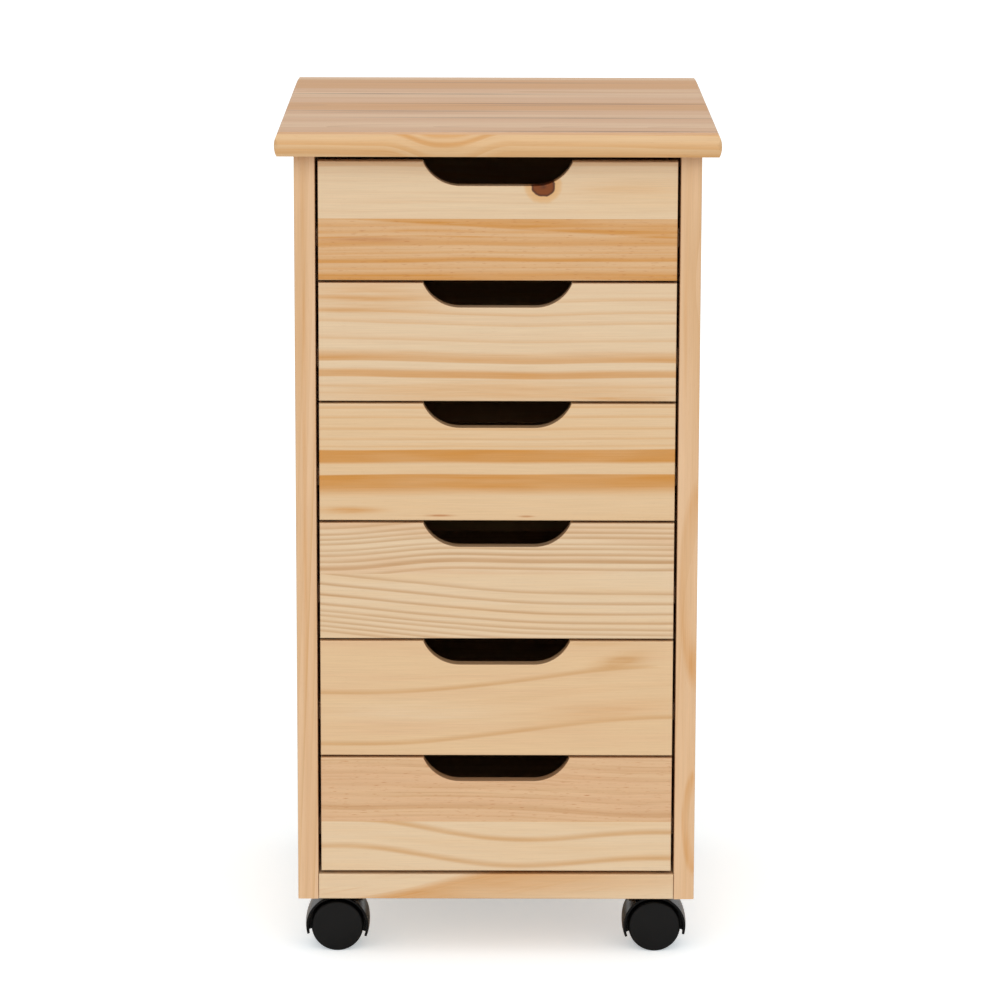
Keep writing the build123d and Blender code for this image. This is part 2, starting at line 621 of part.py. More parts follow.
def plate_screw_holes():
    radius = PLATE_SCREW_SHANK / 2 + DRILL_PLAY
    hole = rod((0, 0, PLATE_UNDERSIDE), (0, 0, 1), radius, PLATE_SCREW_LENGTH + HOLE_SPARE)
    return [place * hole for place in plate_screw_places()]


# The whole cart


def carcass_nodes():
    cuts = joint_cuts()
    return {
        "top_board": top_board(cuts),
        "left_side_panel": side_panel(-1, cuts),
        "right_side_panel": side_panel(1, cuts),
        "base_board": base_board(cuts),
        "back_panel": back_panel(),
        "drawer_runners": group(runners()),
        "runner_screws": group([place * countersunk_screw() for place in runner_screw_places()]),
        "back_panel_nails": group([nail(place) for place in nail_places()]),
        "joint_dowels": group(dowels()),
        "cam_bolts": group([cam_bolt(seam, way) for seam, way, _ in cam_places()]),
        "cam_discs": group([cam_disc(*place) for place in cam_places()]),
        "caster_plates": group([place * caster_plate() for _, place in caster_places()]),
        "caster_stems": group([place * caster_stem() for _, place in caster_places()]),
        "caster_plate_screws": group([place * plate_screw() for place in plate_screw_places()]),
    }


def drawer_nodes():
    pieces = {
        "front": drawer_front(),
        "left_side": drawer_side(-1),
        "right_side": drawer_side(1),
        "back": drawer_back(),
        "bottom": drawer_bottom(),
    }
    return {
        f"drawer_{number}_{name}": Pos(0, 0, drawer_z(number)) * piece
        for number in range(1, DRAWER_COUNT + 1)
        for name, piece in pieces.items()
    }


def caster_nodes():
    pieces = {
        "hood": caster_hood(),
        "axle": caster_axle(),
        "front_wheel": caster_wheel(-1),
        "rear_wheel": caster_wheel(1),
    }
    swapped = {"front_wheel": "rear_wheel", "rear_wheel": "front_wheel"}
    nodes = {}
    for caster, place in caster_places():
        turned = place.orientation.Z != 0
        for name, piece in pieces.items():
            shown = swapped.get(name, name) if turned else name
            nodes[f"{caster}_caster_{shown}"] = place * piece
    return nodes


def main():
    os.makedirs("parts", exist_ok=True)
    nodes = carcass_nodes() | drawer_nodes() | caster_nodes()
    for name, shape in nodes.items():
        export_step(shape, f"parts/{name}.step")
    print(len(nodes), "nodes, height", TOP_FACE, "front height", FRONT_HEIGHT)


if __name__ == "__main__":
    main()
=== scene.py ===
import math
from dataclasses import dataclass

import bmesh
import bpy
from bpy.props import FloatProperty, FloatVectorProperty, PointerProperty
from mathutils import Matrix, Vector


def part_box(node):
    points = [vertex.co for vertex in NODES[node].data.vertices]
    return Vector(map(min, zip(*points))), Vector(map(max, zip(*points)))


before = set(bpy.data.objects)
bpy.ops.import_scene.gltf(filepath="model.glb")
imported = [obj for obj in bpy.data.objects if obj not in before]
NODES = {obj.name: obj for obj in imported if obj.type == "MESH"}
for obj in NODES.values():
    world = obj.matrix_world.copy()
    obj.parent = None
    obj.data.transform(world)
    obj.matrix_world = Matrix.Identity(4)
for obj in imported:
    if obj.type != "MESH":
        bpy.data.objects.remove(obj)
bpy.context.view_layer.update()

bl_info = {
    "name": "Rolling drawer cart",
    "version": (1, 0, 0),
    "blender": (4, 5, 0),
    "location": "3D View > Sidebar > Cart",
    "description": "Dresses the frame of a pine drawer cart with its finished materials and stage",
    "category": "Object",
}

MM = 0.001
DRAWERS = (1, 2, 3, 4, 5, 6)
CASTERS = ("front_left", "front_right", "rear_left", "rear_right")
STEEL = (
    "runner_screws", "back_panel_nails", "cam_bolts", "cam_discs", "caster_plates", "caster_stems",
    "caster_plate_screws",
)


def linear(hex_colour):
    """Linear RGBA of an sRGB hex colour."""
    values = [int(hex_colour[i:i + 2], 16) / 255 for i in (1, 3, 5)]
    return (*[v / 12.92 if v <= 0.04045 else ((v + 0.055) / 1.055) ** 2.4 for v in values], 1.0)


def paint(name, hex_colour, description):
    """Colour property with an sRGB hex default."""
    return FloatVectorProperty(
        name=name, description=description, subtype="COLOR", size=4, min=0.0, max=1.0,
        default=linear(hex_colour),
    )


# Sizes of patterns in millimetres, where there are three of them along the grain, across it and deep.

RING_WANDER = (170.0, 45.0, 45.0)
RING_FADE = (110.0, 14.0, 14.0)
FAINT_SPREAD = (90.0, 9.0, 9.0)
FAINT_GAP = 2.4  # distance between the faint lines among listed rings
BROAD_STREAK = (260.0, 13.0, 13.0)
STAIN_GRAIN = (70.0, 3.2, 3.2)  # streaks that break up a stain
SEAM_HALF = 0.35  # half-width of the line where two staves of a board meet
PANEL_WANDER = (240.0, 60.0, 60.0)
PANEL_WAVE = 14.0  # how far the lines of a glued panel wander
PANEL_FADE = (150.0, 20.0, 20.0)
PANEL_STREAK = (320.0, 11.0, 11.0)
PITH_NEAR, PITH_FAR = 14.0, 62.0  # how far below the face the pith of a glued stave lies
VENEER_FIGURE = (420.0, 46.0, 46.0)
BEECH_STREAK = (120.0, 6.0, 6.0)
BEECH_FLECK = (3.0, 0.35, 0.35)
NYLON_CLOUD = (14.0, 14.0, 14.0)
ZINC_CLOUD = (3.5, 3.5, 3.5)

# Patterns that are finer on the real thing and are drawn coarse enough to show in a render, in millimetres.

FIBRE_LENGTH = 45.0
RESIN_FLECK = (8.0, 0.7, 0.7)
VENEER_PORE = (30.0, 0.7, 0.7)
NYLON_SKIN = (0.45, 0.45, 0.45)
ZINC_GRIT = (0.3, 0.3, 0.3)

# Plain numbers of the patterns

RING_LEAN = 0.3  # how much listed rings move across for each length deep
PITH_SLANT = 0.09  # most that the pith comes up or goes down for each length along
NOISE_LOW, NOISE_HIGH = 0.3, 0.7  # where most values of a noise lie

# What each board's figure looks like. Lengths are millimetres: along the grain from the middle or, on the
# side panels, from the floor, across it from the lower or front edge, and deep from the show face.

THROUGH = 99.0  # reach of a stain that goes right through a board


@dataclass(frozen=True)
class Stave:
    """One strip of pine with the growth rings that show on its face."""

    early: str  # tone between rings
    late: str  # tone of a ring's dark line
    rings: tuple  # (sharp edge, fade, strength, width at full strength); a minus fade goes down
    span: tuple = (0.0, 90.0)  # range of ring places
    slope: float = 0.0  # rise of the lines per length
    bends: tuple = ()  # (rise, middle, half-length) of a swell in the lines
    sharp: float = 0.9  # width of a ring's sharp edge
    wave: float = 4.0  # how far the lines wander
    fine: float = 0.2  # strength of the faint lines between
    tint: str = "pine_blush"  # tone of soft broad streaks
    tint_share: float = 0.25
    flecks: float = 0.1  # strength of short resin flecks


@dataclass(frozen=True)
class Patch:
    """Stain of another tone, broken up by the grain."""

    tone: str
    at: tuple  # middle, as along, across and, unless it is at the show face, deep
    reach: tuple  # half-sizes the same way, with the fade in place of the second for an edge
    strength: float
    turn: float = 0.0  # degrees
    form: str = "soft"  # or "edge", sharp along its lower side, or "loop", a hollow oval


@dataclass(frozen=True)
class Board:
    """Figure of a drawer front or other single board."""

    staves: tuple  # from the lower edge up
    split: float = 0.0  # height where two staves meet
    glue: float = 0.5  # how dark the line between them is
    patches: tuple = ()
    knot: tuple = ()  # (along, height, radius)


@dataclass(frozen=True)
class Panel:
    """Figure of a panel glued from staves."""

    staves: tuple  # (start across the panel, tone)
    span: float  # width of the panel
    seed: float  # sets how each stave lies to the pith
    late: str = "pine_tan"
    tint: float = 0.45  # how far broad streaks take the tone of the rings
    glue: float = 0.35  # how dark the lines between staves are
    flecks: float = 0.15  # strength of short resin flecks
    patches: tuple = ()


FRONTS = (
    Board(
        staves=(
            Stave(
                "pine_honey", "pine_amber",
                (
                    (0.8, 7, 0.75, 3.5), (9, 1.8, 0.35, 0), (14.2, 4, 0.9, 1.5), (20.5, 2, 0.45, 0),
                    (26.5, 7, 0.6, 2), (36, 3, 0.35, 0), (41, 3, 0.4, 0),
                ),
                wave=3.0, fine=0.6, tint="pine_straw", tint_share=0.55, flecks=0.75,
            ),
            Stave(
                "pine_pale", "pine_tan",
                (
                    (52, 2.5, 0.14, 0), (58, 3, 0.16, 0), (65, 2.5, 0.12, 0), (73, 3, 0.12, 0),
                    (80, 3, 0.15, 0), (85.5, 4, 0.5, 2),
                ),
                fine=0.12,
            ),
        ),
        split=46.0,
        patches=(
            Patch("pine_amber", (20, 37.5), (150, 15), 0.85, -3.3, "edge"),
            Patch("pine_rust", (-95, 30.5), (60, 4), 0.45),
            Patch("pine_amber", (100, 68.5), (66, 7), 0.5),
            Patch("pine_straw", (110, 64), (110, 30), 0.7),
        ),
        knot=(33.5, 71.0, 8.6),
    ),
    Board(
        staves=(
            Stave(
                "pine_pale", "pine_amber",
                (
                    (5.5, 2, 0.3, 0), (11, 2.5, 0.4, 0), (19, 6.5, 0.85, 3.5), (30.7, 9.5, 0.66, 3),
                    (46.8, 3, 0.3, 0), (59.5, 3, 0.35, 0), (67.3, 3, 0.42, 0), (77, 3, 0.32, 0),
                ),
                slope=-0.008, bends=((-2.0, 0, 130),), wave=2.5, fine=0.12, tint_share=0.3,
            ),
        ),
        patches=(
            Patch("pine_honey", (-95, 79), (130, 22), 0.75),
            Patch("pine_amber", (-100, 77.5), (75, 4), 0.45),
            Patch("pine_amber", (-100, 68.5), (85, 4), 0.45),
            Patch("pine_straw", (0, 8), (230, 15), 0.9),
            Patch("pine_honey", (0, 7), (220, 14), 0.8),
            Patch("pine_amber", (95, 2), (75, 4), 0.5),
        ),
    ),
    Board(
        staves=(
            Stave(
                "pine_straw", "pine_amber",
                (
                    (35, -16.5, 0.97, 9.5), (53.8, -10.5, 1.0, 8.5), (56.8, 1.6, 0.3, 0), (62.2, 2, 0.35, 0),
                    (69.7, 2.2, 0.38, 0), (78.6, 2.5, 0.32, 0), (86, 3, 0.4, 0),
                ),
                slope=0.004, wave=1.6, fine=0.12, tint="pine_pale", tint_share=0.4,
            ),
        ),
        patches=(
            Patch("pine_amber", (-112, 7.5), (45, 5), 0.7),
            Patch("pine_rust", (-43, 3.8), (18, 1.6), 0.8),
            Patch("pine_rust", (22, 3.2), (10, 1.4), 0.7),
        ),
    ),
    Board(
        staves=(
            Stave(
                "pine_pale", "pine_umber",
                (
                    (-10, 2.3, 0.75, 0), (-6, 2.3, 0.75, 0), (-2, 2.3, 0.75, 0), (2.4, 2.3, 0.8, 0),
                    (6, 2.5, 0.85, 0), (11, 2.4, 0.85, 0.5), (18.2, 2.4, 0.85, 0.5), (26.3, 2.6, 0.85, 0.5),
                    (34.4, 2.6, 0.75, 0.5),
                ),
                span=(-20.0, 70.0), bends=((22.6, -280, 380),), wave=2.0, fine=0.12, tint="pine_straw",
                tint_share=0.8,
            ),
            Stave(
                "pine_pale", "pine_umber",
                (
                    (54, 2.4, 0.85, 0.6), (59.5, 3.6, 1.0, 1.4), (65, 2.7, 0.9, 0), (69.6, 2.5, 0.85, 0),
                    (73.4, 2, 0.65, 0), (78.2, 2.5, 0.8, 0), (82, 2.3, 0.75, 0), (86, 2.3, 0.75, 0),
                    (91, 2.3, 0.75, 0), (96, 2.3, 0.75, 0),
                ),
                span=(40.0, 110.0), slope=-0.01, bends=((-8, -145, 130),), wave=2.0, fine=0.12,
                tint="pine_blush", tint_share=0.7,
            ),
        ),
        split=50.0,
        glue=0.0,
        patches=(Patch("pine_blush", (-60, 54), (140, 7), 0.5),),
    ),
    Board(
        staves=(
            Stave(
                "pine_straw", "pine_tan",
                ((8.6, 3.8, 0.75, 0.8), (22, 4, 0.12, 0), (34, 5, 0.12, 0), (48.4, 3.6, 0.75, 0.8)),
                span=(-20.0, 90.0), bends=((21, 160, 275),), sharp=1.4, wave=2.0, fine=0.08,
                tint="pine_blush", tint_share=0.5,
            ),
        ),
        patches=(
            Patch("pine_honey", (80, 33), (95, 15), 0.7, 7.0),
            Patch("pine_straw", (132, 70.5), (34, 8), 1.5),
            Patch("pine_tan", (94, 73.5), (38, 11), 0.85, 14.0),
            Patch("pine_tan", (72, 87), (60, 3.5), 0.4),
            Patch("pine_pale", (-60, 33), (120, 16), 0.6),
            Patch("pine_blush", (-85, 22), (90, 14), 0.45),
        ),
    ),
    Board(
        staves=(
            Stave(
                "pine_pale", "pine_tan", ((3, 4.4, 0.8, 1), (13, 4, 0.1, 0), (24, 4.4, 0.8, 1)),
                span=(-20.0, 70.0), bends=((17, -133, 160), (6, 133, 120)), sharp=2.0, wave=3.0, fine=0.08,
                tint="pine_straw", tint_share=0.7,
            ),
            Stave(
                "pine_blush", "pine_clay",
                (
                    (43, 2, 0.22, 0), (49, 6, 0.42, 2), (60, 3, 0.22, 0), (67, 3, 0.22, 0), (76, 4, 0.25, 0),
                    (84, 4, 0.25, 0),
                ),
                bends=((-6, 133, 150),), fine=0.5, tint="pine_straw", tint_share=0.5, flecks=0.8,
            ),
        ),
        split=39.2,
        glue=0.25,
    ),
)

BASE_EDGE = Board(
    staves=(
        Stave(
            "pine_pale", "pine_amber", ((20, -48, 0.7, 3),), span=(-40.0, 60.0), slope=0.22, sharp=5.0,
            wave=4.0, fine=0.2, tint_share=0.4,
        ),
    ),
    patches=(Patch("pine_pale", (120, 1), (60, 9), 0.45),),
)

# Front edge of the top board, where the rings come out as a bowl.
NOSE = Stave(
    "pine_nose", "pine_amber",
    ((1.5, 6, 0.4, 1.5), (8, 5, 0.4, 1), (19.5, 3.5, 0.75, 1), (26, 7, 0.6, 2)),
    span=(-20.0, 40.0), slope=-0.014, bends=((-11.5, -38, 52),), sharp=2.6, wave=4.0, fine=0.35,
    tint="pine_straw", tint_share=0.6,
)

# The top's stave tones carry painted shade: they are darker than the fronts' tones so that the upper face
# looks less lit than the fronts.
TOP = Panel(
    staves=(
        (0, "pine_rose"), (34, "pine_dust"), (62, "pine_rose"), (96, "pine_dust"), (118, "pine_rose"),
        (146, "pine_tawny"), (196, "pine_rose"), (232, "pine_dust"), (268, "pine_rose"), (296, "pine_tawny"),
        (362, "pine_dust"),
    ),
    span=380.0, seed=3.0, late="pine_clay", tint=0.3, glue=0.55,
    patches=(
        Patch("pine_amber", (0, 172), (420, 42), 0.32),
        Patch("pine_amber", (20, 326), (420, 48), 0.32),
        Patch("pine_dust", (-30, 60), (300, 30), 0.6),
        Patch("pine_dust", (0, 370), (420, 14), 0.7),
        Patch("pine_straw", (110, 283), (150, 9), 0.6),
        Patch("pine_bark", (-60, 258), (220, 5.2), 1.0),
        Patch("pine_bark", (60, 190), (240, 5.2), 1.0),
        Patch("pine_bark", (40, 178), (160, 3), 0.7),
        Patch("pine_bark", (-70, 140), (190, 4.6), 0.9),
        Patch("pine_bark", (-90, 128), (110, 2.6), 0.7),
        Patch("pine_bark", (40, 96), (260, 4.8), 1.0),
        Patch("pine_bark", (20, 340), (200, 4.4), 0.7),
        Patch("pine_bark", (70, 11), (210, 4.6), 0.9),
    ),
)

SIDES = {
    "left": Panel(
        staves=(
            (0, "pine_side"), (66, "pine_straw"), (142, "pine_blush"), (214, "pine_straw"),
            (298, "pine_side"),
        ),
        span=366.0, seed=11.0,
        patches=(
            Patch("pine_amber", (400, 0, 7), (420, 30, 3.5), 0.4),
            Patch("pine_blush", (110, 0, 8), (130, 30, 9), 0.6),
        ),
    ),
    "right": Panel(
        staves=(
            (0, "pine_side"), (72, "pine_straw"), (150, "pine_side"), (226, "pine_blush"),
            (292, "pine_straw"),
        ),
        span=366.0, seed=12.0,
        patches=(
            Patch("pine_amber", (112, 0, 0), (39, 14, 9.5), 0.5, form="loop"),
            Patch("pine_amber", (90, 0, -4.5), (26, 30, 3.5), 0.4),
            Patch("pine_amber", (296, 0, 0), (75, 16, 13), 0.35, form="loop"),
            Patch("pine_amber", (238, 0, -3), (26, 30, 5), 0.5),
            Patch("pine_amber", (500, 0, -11), (150, 30, 3), 0.3),
        ),
    ),
}

BOX_SIDE = Panel(
    staves=(
        (0, "pine_box"), (160, "pine_box_pale"), (255, "pine_box"), (345, "pine_box_pale"), (527, "pine_box"),
    ),
    span=700.0, seed=5.0, glue=0.0,
)
BOX_BACK = Panel(
    staves=((0, "pine_box_pale"), (252, "pine_box"), (436, "pine_box_pale")),
    span=700.0, seed=9.0, glue=0.0,
)


class CartSizes(bpy.types.PropertyGroup):
    """Sizes of the wood's figure."""

    ring_gap: FloatProperty(
        name="Ring gap", description="Distance between growth rings in glued panels", default=0.0056,
        unit="LENGTH",
    )
    fibre: FloatProperty(
        name="Fibre", description="Width of the fine streaks, coarser than real fibres so that they show",
        default=0.0008, unit="LENGTH",
    )
    nose_edge: FloatProperty(
        name="Nose edge", description="Where the top board's front edge turns into its upper face",
        default=0.0037, unit="LENGTH",
    )
    nose_drop: FloatProperty(
        name="Nose drop", description="How far the upper face's wood comes down over the front edge",
        default=0.0015, unit="LENGTH",
    )
    # The grip reach, grip depth and arris set where painted shade lies in the finger grips; the arris is left
    # out of it.
    grip_reach: FloatProperty(
        name="Grip reach", description="Half-width of the finger grips, with some room", default=0.058,
        unit="LENGTH",
    )
    grip_depth: FloatProperty(
        name="Grip depth", description="Depth of the finger grips, with some room", default=0.0192,
        unit="LENGTH",
    )
    arris: FloatProperty(
        name="Arris", description="Width of the clean arris round the finger grips", default=0.0006,
        unit="LENGTH",
    )


class CartStage(bpy.types.PropertyGroup):
    """Floor, light and camera."""

    floor: FloatProperty(name="Floor", description="Side of the studio floor", default=60.0, unit="LENGTH")
    floor_lift: FloatProperty(
        name="Floor lift", description="Light added to the floor where the camera sees it", default=0.43
    )
    backdrop_level: FloatProperty(
        name="Backdrop level", description="Brightness of the backdrop, seen and mirrored", default=1.0
    )
    sky: FloatProperty(name="Sky", description="Light from all round", default=0.535)
    key_energy: FloatProperty(name="Key energy", description="Soft light from the front", default=1.27)
    key_width: FloatProperty(
        name="Key width", description="How wide the key light looks from the cart",
        default=math.radians(60), unit="ROTATION",
    )
    key_tilt: FloatProperty(
        name="Key tilt", description="Turn of the key light from overhead to the front",
        default=math.radians(50), unit="ROTATION",
    )
    camera_place: FloatVectorProperty(
        name="Camera place", description="Where the camera stands", subtype="TRANSLATION", unit="LENGTH",
        default=(-0.0089, -3.4552, 1.0334),
    )
    sensor: FloatProperty(name="Sensor", description="Width of the sensor, in millimetres", default=36.0)
    focal_length: FloatProperty(
        name="Focal length", description="Focal length of the lens, in millimetres", default=160.39
    )
    view_limit: FloatProperty(
        name="View limit", description="How far the camera sees", default=200.0, unit="LENGTH"
    )
    pitch: FloatProperty(
        name="Pitch", description="Camera tilt below the horizon", default=math.radians(11.561),
        unit="ROTATION",
    )
    yaw: FloatProperty(
        name="Yaw", description="Camera turn to the right", default=math.radians(0.194), unit="ROTATION"
    )
    roll: FloatProperty(
        name="Roll", description="Camera roll", default=math.radians(0.157), unit="ROTATION"
    )


class CartColours(bpy.types.PropertyGroup):
    """Colours of the cart and of the stage."""

    pine_pale: paint("Pale pine", "#e6cba7", "Earlywood of the palest staves")
    pine_straw: paint("Straw pine", "#e4c297", "Yellowish earlywood")
    pine_blush: paint("Blush pine", "#deb58c", "Pinkish stave")
    pine_honey: paint("Honey pine", "#dcb080", "Orange-brown stave")
    pine_side: paint("Side pine", "#e7c199", "Front edges of the side panels")
    pine_nose: paint("Nose pine", "#e2b988", "Front edge of the top board")
    # The top board's tones are partly its own pinker wood and partly painted shade: they are set darker than
    # the fronts' tones to stand in for the lesser light on the top face.
    pine_rose: paint("Rose pine", "#daaf87", "Pinkish brown stave of the top board")
    pine_dust: paint("Dusty pine", "#e2bd97", "Pale stave of the top board")
    pine_tawny: paint("Tawny pine", "#d3a06c", "Orange-brown stave of the top board")
    pine_clay: paint("Clay pine", "#bd8852", "Soft brown lines")
    pine_tan: paint("Tan latewood", "#d0a069", "Soft ring lines")
    pine_amber: paint("Amber latewood", "#d09043", "Strong ring lines")
    pine_umber: paint("Umber latewood", "#c79d70", "Fine brown ring lines")
    pine_rust: paint("Rust streak", "#b9723a", "Reddish resin streaks")
    pine_bark: paint("Bark line", "#80573a", "Thin dark lines of the top board")
    pine_box: paint("Box pine", "#cda677", "Raw pine of the drawer boxes")
    pine_box_pale: paint("Pale box pine", "#d3b184", "Paler raw pine of the drawer boxes")
    knot: paint("Knot", "#7c3d08", "Red-brown heart of a knot")
    knot_rim: paint("Knot rim", "#55280a", "Dark bark line round a knot")
    knot_halo: paint("Knot halo", "#e0b076", "Orange wood round a knot")
    # Painted shade: darkens the routed inner face of the finger grips, which lies in shadow.
    painted_grip_shade: paint("Grip shade", "#b6aca4", "Burnish on the routed edge of the finger grips")
    plywood: paint("Plywood", "#d0b084", "Pale face veneer")
    plywood_line: paint("Plywood line", "#bb9768", "Veneer grain")
    beech: paint("Beech", "#cfa77e", "Pinkish tan beech")
    beech_fleck: paint("Beech fleck", "#ab7d56", "Ray flecks in beech")
    hood: paint("Hood plastic", "#09090a", "Black moulded plastic")
    wheel: paint("Wheel plastic", "#080808", "Black wheel plastic")
    zinc: paint("Zinc plating", "#c4c8cc", "Bluish bright zinc")
    backdrop: paint("Backdrop", "#ffffff", "White all round")
    floor: paint("Floor", "#fafaf9", "White studio floor")
    floor_lift: paint("Floor lift", "#f3fbff", "Cool white that balances the warm light from the wood")


# Shader nodes


def add(tree, kind, inputs=None, out=0, **settings):
    """Adds a node and returns one of its outputs, if any. Sockets among its inputs are linked, others set.

    Inputs that share a name are given by number. A MapRange has its value at 0, the old ends at 1 and 2 and
    the new ends at 3 and 4. A Mix has its share at 0, two numbers at 2 and 3 and two colours at 6 and 7.
    """
    made = tree.nodes.new("ShaderNode" + kind)
    for key, value in settings.items():
        setattr(made, key, value)
    for key, value in (inputs or {}).items():
        if isinstance(value, bpy.types.NodeSocket):
            tree.links.new(value, made.inputs[key])
        else:
            made.inputs[key].default_value = value
    return made.outputs[out] if made.outputs else None


def empty_tree(owner):
    """Node tree of a new material or world, with nothing in it."""
    owner.use_nodes = True
    owner.node_tree.nodes.clear()
    return owner.node_tree


def material(name):
    """New material and its empty tree."""
    made = bpy.data.materials.new(name)
    return made, empty_tree(made)


def set_stops(ramp, stops, interpolation="LINEAR"):
    """Gives a colour ramp its stops, as (place, grey) or (place, colour)."""
    ramp.interpolation = interpolation
    elements = ramp.elements
    while len(elements) < len(stops):
        elements.new(1.0)
    for element, (place, tone) in zip(elements, stops):
        element.position = place
        element.color = (tone, tone, tone, 1.0) if isinstance(tone, float) else tone


def grain_place(tree, origin, axes):
    """Place in millimetres from a corner of the board, as (along the grain, across, deep)."""
    where = add(tree, "TexCoord", out=3)
    moved = add(
        tree, "Mapping",
        {"Vector": where, "Location": [-c / MM for c in origin], "Scale": (1 / MM, 1 / MM, 1 / MM)},
    )
    parts = add(tree, "SeparateXYZ", {0: moved}).node.outputs
    return add(tree, "CombineXYZ", {i: parts["XYZ".index(axis)] for i, axis in enumerate(axes)})


def streaks(tree, place, lengths, detail=2.0):
    """Noise from 0 to 1 with the given lengths in millimetres along, across and deep."""
    scaled = add(tree, "Mapping", {"Vector": place, "Scale": [1 / length for length in lengths]})
    return add(tree, "TexNoise", {"Vector": scaled, "Scale": 1.0, "Detail": detail, "Roughness": 0.55})


def ring_stops(stave):
    """Colour ramp stops for rings with one sharp edge each."""
    low, high = stave.span
    stops = []
    for edge, fade, strength, full in sorted(stave.rings):
        way = 1 if fade > 0 else -1
        profile = [(edge - stave.sharp * way, 0.0), (edge, strength), (edge + fade, 0.0)]
        if full:
            profile.insert(2, (edge + full * way, 0.95 * strength))
        stops += profile if way > 0 else profile[::-1]
    places = [(min(max((g - low) / (high - low), 0.0), 1.0), s) for g, s in stops]
    return [(max(p, places[i - 1][0]) if i else p, s) for i, (p, s) in enumerate(places)]


def stave_figure(tree, place, stave, colours):
    """Colour and latewood amount of a stave whose rings are listed one by one."""
    along, across, deep = add(tree, "SeparateXYZ", {0: place}).node.outputs
    wander = add(tree, "Math", {0: streaks(tree, place, RING_WANDER, 1.0), 1: 0.5}, operation="SUBTRACT")
    ring = add(tree, "Math", {0: wander, 1: 2 * stave.wave, 2: across}, operation="MULTIPLY_ADD")
    ring = add(tree, "Math", {0: along, 1: -stave.slope, 2: ring}, operation="MULTIPLY_ADD")
    for rise, middle, half in stave.bends:
        off = add(tree, "Math", {0: along, 1: middle}, operation="SUBTRACT")
        off = add(tree, "Math", {0: off}, operation="ABSOLUTE")
        swell = add(
            tree, "MapRange", {0: off, 1: 0, 2: half, 3: -rise, 4: 0}, interpolation_type="SMOOTHERSTEP"
        )
        ring = add(tree, "Math", {0: ring, 1: swell}, operation="ADD")
    ring = add(tree, "Math", {0: deep, 1: RING_LEAN, 2: ring}, operation="MULTIPLY_ADD")
    low, high = stave.span
    share = add(tree, "MapRange", {0: ring, 1: low, 2: high, 3: 0, 4: 1})
    ramp = add(tree, "ValToRGB", {"Fac": share})
    set_stops(ramp.node.color_ramp, ring_stops(stave))
    fade = streaks(tree, place, RING_FADE)
    fade = add(tree, "MapRange", {0: fade, 1: NOISE_LOW, 2: NOISE_HIGH, 3: 0.72, 4: 1.1})
    late = add(tree, "Math", {0: ramp, 1: fade}, operation="MULTIPLY")
    count = add(tree, "Math", {0: ring, 1: FAINT_GAP}, operation="DIVIDE")
    faint = add(tree, "TexNoise", {"W": count, "Scale": 1.0, "Detail": 2.0}, noise_dimensions="1D")
    faint = add(tree, "MapRange", {0: faint, 1: 0.5, 2: 0.75, 3: 0, 4: stave.fine})
    here = add(tree, "MapRange", {0: streaks(tree, place, FAINT_SPREAD), 1: 0.4, 2: 0.62, 3: 0, 4: 1})
    late = add(tree, "Math", {0: faint, 1: here, 2: late}, operation="MULTIPLY_ADD", use_clamp=True)
    broad = streaks(tree, place, BROAD_STREAK, 3.0)
    tint = add(tree, "MapRange", {0: broad, 1: 0.42, 2: 0.68, 3: 0, 4: stave.tint_share})
    tones = [getattr(colours, tone) for tone in (stave.early, stave.tint, stave.late)]
    early = add(tree, "Mix", {0: tint, 6: tones[0], 7: tones[1]}, out=2, data_type="RGBA")
    return add(tree, "Mix", {0: late, 6: early, 7: tones[2]}, out=2, data_type="RGBA"), late


